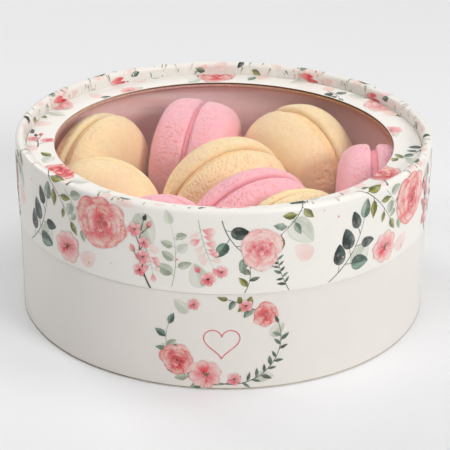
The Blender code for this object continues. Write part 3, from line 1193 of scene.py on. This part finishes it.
def pit_foot(shell, middle, axis, low, high, pitted):
    """Bakes the foot: pits in a band of the shell, shallower at its ends, and one rough, darker
    dent.
    """
    settings = bpy.context.scene.macaron_sizes
    dented, dent_at, reach, dent = DARK_DENT
    depths, moved = [], []
    cell = settings.pit_size * MM
    for point, normal in [(vert.co.copy(), vert.normal.copy()) for vert in shell.data.vertices]:
        place = point - middle
        height = abs(place.dot(axis)) / MM
        weight = min(1.0, (height - low - 0.3) / 0.5, (high - height) / (0.35 * (high - low)))
        depth = sunk = 0.0
        if weight > 0.0 and place.length > PIT_FREE:
            near = noise.voronoi(point / cell)[0][0] / settings.pit_width
            patch = min(1.0, max(0.5, 1.0 + 1.2 * noise.noise(point / PATCH)))
            depth = weight * patch * pitted * max(0.0, 1.0 - near * near)
        if shell.name == dented:
            share = math.exp(-((point / MM - Vector(dent_at)).length / reach) ** 2)
            sunk = dent * share
            rough = max(0.0, noise.noise(point / MM * 0.9) + 0.15)
            depth = min(1.0, depth + share * rough * 1.2)
        moved.extend(point - normal * (sunk + depth * settings.pit) * MM)
        depths.append(depth)
    shell.data.vertices.foreach_set("co", moved)
    # the pits' depth, which the shell's material paints as shade; the dent's roughness adds to it
    pits = shell.data.attributes.new("Pits", "FLOAT", "POINT")
    pits.data.foreach_set("value", depths)
    shell.data.update()


def keep_under_film(pieces):
    """Lowers a macaron's pieces together where its top would touch the film."""
    top = max(vert.co.z for piece in pieces for vert in piece.data.vertices) / MM
    if top > CEILING:
        for piece in pieces:
            piece.data.transform(Matrix.Translation((0.0, 0.0, (CEILING - top) * MM)))


def displace(piece, size, strength):
    """Moves the surface by soft clouds of a size, both in mm."""
    texture = bpy.data.textures.new(f"Clouds {size}", "CLOUDS")
    texture.noise_scale = size * MM
    add_modifier(piece, "DISPLACE", texture=texture, strength=strength * MM, mid_level=0.5,
                 texture_coords="LOCAL", direction="NORMAL")


class PIECE_OT_macarons(bpy.types.Operator):
    """Macarons: two baked shells with pitted feet and the cream between them"""
    bl_idname = "macaron_box.macarons"
    bl_label = "Macarons"

    def execute(self, context):
        settings = context.scene.macaron_sizes
        tones = colours()
        shells = {"yellow": shell_material("Yellow shell", tones.yellow),
                  "pink": shell_material("Pink shell", tones.pink)}
        creams = {"yellow": cream_material("Yellow cream", tones.yellow_cream),
                  "pink": cream_material("Pink cream", tones.pink_cream_shaded)}
        for name, colour in MACARONS.items():
            middle, axis, radius, half, seam = macaron_measures(name)
            radius, half, seam = radius / MM, half / MM, seam / MM
            pieces = []
            for number in (1, 2):
                shoulder = SQUARE_SHOULDER if name in SQUARE_MACARONS else SHOULDER
                shell = turn_profile(f"{name}_baked_{number}",
                                     shell_profile(radius, half, seam, shoulder),
                                     settings.steps, closed=False)
                shell.data.transform(macaron_turn(middle, axis, number == 2))
                displace(shell, 9.0, settings.uneven)
                displace(shell, 1.6, settings.uneven * 0.3)
                pit_foot(shell, middle, axis, seam, seam + settings.foot * (half - seam),
                         PITTED.get(name, 1.0))
                finish_piece(shell, shells[colour], colour, f"{name}_shell_{number}", angle=70)
                pieces.append(shell)
            cream_r, edge = radius * 0.915, seam + 0.12
            section = [(0.0, -edge)]
            section += [(cream_r - 0.3 + 0.3 * out, rising * edge)
                        for out, rising in arc(0.0, 0.0, 1.0, -90, 90, 8)]
            section += [(0.0, edge)]
            cream = turn_profile(f"{name}_cream", section, CREAM_STEPS, closed=False)
            cream.data.transform(macaron_turn(middle, axis, False))
            displace(cream, 3.0, 0.3)
            finish_piece(cream, creams[colour], f"{colour}_filling", f"{name}_filling", angle=70)
            keep_under_film(pieces + [cream])
        return {"FINISHED"}


# The camera's lens in mm, its place in metres, and its right and backward directions
LENS, CAMERA_AT = 115.416, (0.0, -0.38994, 0.20094)
CAMERA_RIGHT, CAMERA_BACK = (0.99993, 0.00355, 0.01088), (-0.00134, -0.90801, 0.41895)

LIT_POINT = Vector((0, 0, 0.03))          # where the soft boxes look
GLOW_FROM, GLOW_FULL, GLOW = 0.95, 1.30, 0.62     # the floor's glow, by distance in metres

# Soft boxes round the box: azimuth and height in degrees, power in watts, width in metres
SOFT_BOXES = {
    "front_right": (315, 30, 6.1, 0.35),
    "front_left": (225, 55, 2.5, 0.45),
    "back_left": (135, 36, 4.1, 0.45),
    "back": (90, 32, 0.8, 0.45),
    "back_right": (45, 30, 1.5, 0.45),
    "right": (0, 65, 2.9, 0.45),
    "top": (270, 75, 1.9, 0.45),
}


def soft_box(name, azimuth, elevation, power, width):
    """A square area light that looks at the box."""
    studio = bpy.context.scene.macaron_studio
    lamp = bpy.data.lights.new(name, "AREA")
    lamp.shape, lamp.size, lamp.energy = "SQUARE", width, power * studio.power
    obj = bpy.data.objects.new(name, lamp)
    bpy.context.scene.collection.objects.link(obj)
    azimuth, elevation = math.radians(azimuth), math.radians(elevation)
    way = Vector((math.cos(azimuth) * math.cos(elevation),
                  math.sin(azimuth) * math.cos(elevation), math.sin(elevation)))
    obj.location = way * studio.reach
    obj.rotation_mode = "QUATERNION"
    obj.rotation_quaternion = (obj.location - LIT_POINT).to_track_quat("Z", "Y")


class PIECE_OT_studio(bpy.types.Operator):
    """Pale floor, soft studio light and the camera"""
    bl_idname = "macaron_box.studio"
    bl_label = "Studio"

    def execute(self, context):
        bpy.ops.object.select_all(action="DESELECT")
        bpy.ops.mesh.primitive_plane_add(size=16.0, location=(0, 0, 0))
        floor = context.object
        floor.name = "floor"
        material, tree, shader = new_material("Pale floor", 0.75)
        shade = ranged(tree, noise_value(tree, 6, 2.0), 0.3, 0.7, 0.995, 1.005)
        tree.links.new(toned(tree, (*colours().floor, 1.0), shade), shader.inputs["Base Color"])
        # past the soft boxes' reach the floor glows a little, so that it stays pale
        away = add_node(tree, "ShaderNodeVectorMath", {0: here(tree)}, operation="LENGTH")
        far = ranged(tree, away.outputs["Value"], GLOW_FROM, GLOW_FULL, 0.0, GLOW)
        glow = add_node(tree, "ShaderNodeCombineColor", {0: far, 1: far, 2: far}).outputs[0]
        tree.links.new(glow, shader.inputs["Emission Color"])
        shader.inputs["Emission Strength"].default_value = 1.0
        floor.data.materials.append(material)

        studio = context.scene.macaron_studio
        for name, values in SOFT_BOXES.items():
            soft_box(name, *values)
        world = bpy.data.worlds.new("Studio air")
        world.use_nodes = True
        air = world.node_tree.nodes["Background"]
        air.inputs["Color"].default_value = (1.0, 1.0, 1.0, 1.0)
        air.inputs["Strength"].default_value = studio.air
        context.scene.world = world

        lens = bpy.data.cameras.new("camera")
        lens.sensor_fit, lens.sensor_width, lens.lens = "HORIZONTAL", 36.0, LENS
        lens.clip_start, lens.clip_end = 0.01, 20.0
        camera = bpy.data.objects.new("camera", lens)
        context.scene.collection.objects.link(camera)
        back = Vector(CAMERA_BACK).normalized()
        up = back.cross(Vector(CAMERA_RIGHT)).normalized()
        turn = Matrix((up.cross(back), up, back)).transposed().to_4x4()
        camera.matrix_world = Matrix.Translation(CAMERA_AT) @ turn
        context.scene.camera = camera
        context.scene.view_settings.view_transform = "Standard"
        return {"FINISHED"}


class BOX_PT_panel(bpy.types.Panel):
    """Lists the pieces and the values behind them"""
    bl_idname = "BOX_PT_panel"
    bl_label = "Macaron box"
    bl_space_type = "VIEW_3D"
    bl_region_type = "UI"
    bl_category = "Macaron box"

    def draw(self, context):
        for piece in PIECES:
            self.layout.operator(piece.bl_idname)
        for store in STORES:
            box = self.layout.box()
            holder = getattr(context.scene, store)
            for key in STORES[store].__annotations__:
                box.prop(holder, key)


PIECES = (PIECE_OT_lid, PIECE_OT_base, PIECE_OT_print, PIECE_OT_window, PIECE_OT_macarons,
          PIECE_OT_studio)
STORES = {"macaron_box_sizes": BoxSizes, "macaron_sizes": MacaronSizes,
          "macaron_box_colours": BoxColours, "macaron_studio": StudioSizes}


def register():
    for made in (*STORES.values(), *PIECES, BOX_PT_panel):
        bpy.utils.register_class(made)
    for store, made in STORES.items():
        setattr(bpy.types.Scene, store, PointerProperty(type=made))


def unregister():
    for store in STORES:
        delattr(bpy.types.Scene, store)
    for made in reversed((*STORES.values(), *PIECES, BOX_PT_panel)):
        bpy.utils.unregister_class(made)


def main():
    register()
    for piece in PIECES:
        family, action = piece.bl_idname.split(".")
        getattr(getattr(bpy.ops, family), action)()


if __name__ == "__main__":
    main()
